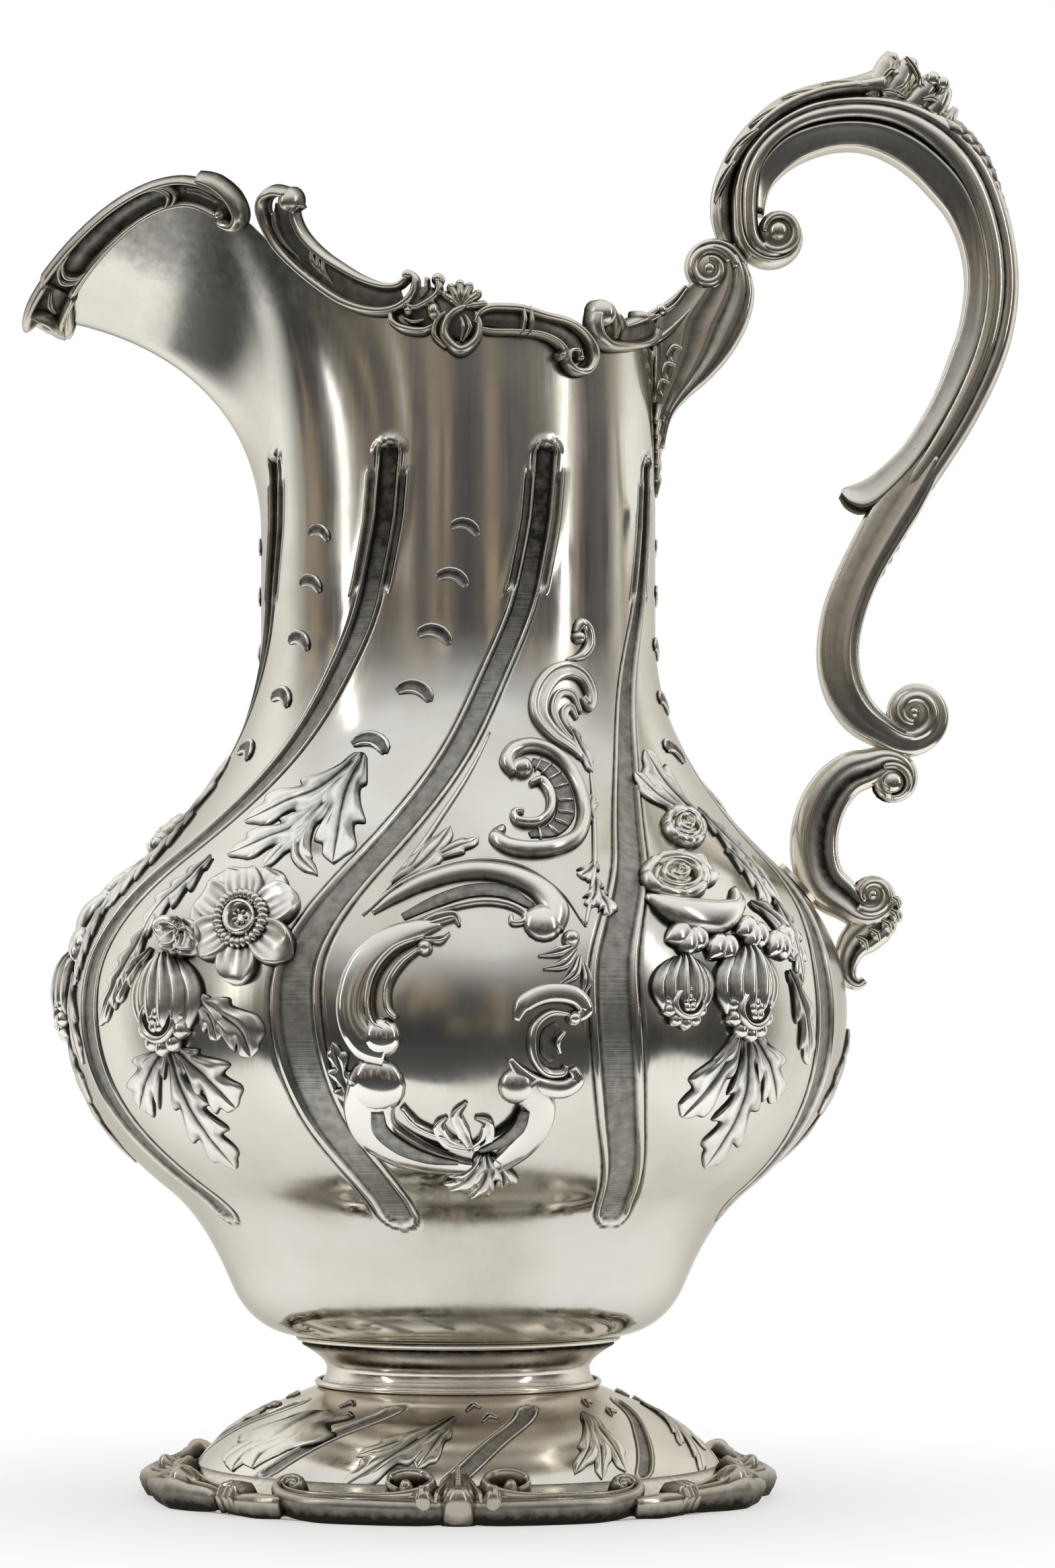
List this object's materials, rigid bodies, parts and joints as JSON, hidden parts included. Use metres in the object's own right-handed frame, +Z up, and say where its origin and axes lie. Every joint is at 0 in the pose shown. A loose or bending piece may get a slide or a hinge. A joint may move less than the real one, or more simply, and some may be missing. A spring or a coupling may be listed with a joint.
{
  "type": "ewer",
  "caption": "Baluster silver ewer on a domed foot, with a broad lifted spout, swirled flutes and chased flowers, a cast scroll rim and a looping scroll handle, for pouring water or wine.",
  "frame": {"origin": "centre of the foot's resting face, on the table", "axes": "+Z up, the handle towards +X, the spout towards -X, the chased front towards -Y"},
  "size_m": [0.248, 0.192, 0.3568],
  "materials": {
    "raised_silver": "polished silver with dark patina in the chasing",
    "cast_silver": "polished cast silver with dark recesses",
    "handle_silver": "worn, slightly tarnished cast silver"
  },
  "bodies": {
    "root": {"bowl_lower": "raised_silver", "bowl_shoulder": "raised_silver", "neck": "raised_silver", "foot_flange": "raised_silver", "foot_stem": "raised_silver", "stem_wire": "raised_silver", "foot_dome": "raised_silver", "base_ring": "cast_silver", "husk_front": "cast_silver", "husk_back": "cast_silver", "border_scroll_1": "cast_silver", "border_scroll_2": "cast_silver", "border_scroll_3": "cast_silver", "border_scroll_4": "cast_silver", "collar_1": "cast_silver", "collar_2": "cast_silver", "collar_3": "cast_silver", "collar_4": "cast_silver", "lobe_1": "cast_silver", "lobe_2": "cast_silver", "lobe_3": "cast_silver", "lobe_4": "cast_silver", "loop_left": "cast_silver", "loop_right": "cast_silver", "lip_tip": "cast_silver", "lip_near": "cast_silver", "lip_far": "cast_silver", "front_scroll_near": "cast_silver", "front_scroll_far": "cast_silver", "shell_near": "cast_silver", "shell_far": "cast_silver", "rear_scroll_near": "cast_silver", "rear_scroll_far": "cast_silver", "rear_volute_near": "cast_silver", "rear_volute_far": "cast_silver", "bracket": "handle_silver", "bracket_leaf": "handle_silver", "arch": "handle_silver", "strap": "handle_silver", "thumb_leaf": "handle_silver", "thumb_crest": "handle_silver", "spine_leaf": "handle_silver", "lower_scroll": "handle_silver", "foot_scroll": "handle_silver", "tail_leaf": "handle_silver", "solder_pad": "handle_silver"}
  },
  "joints": []
}
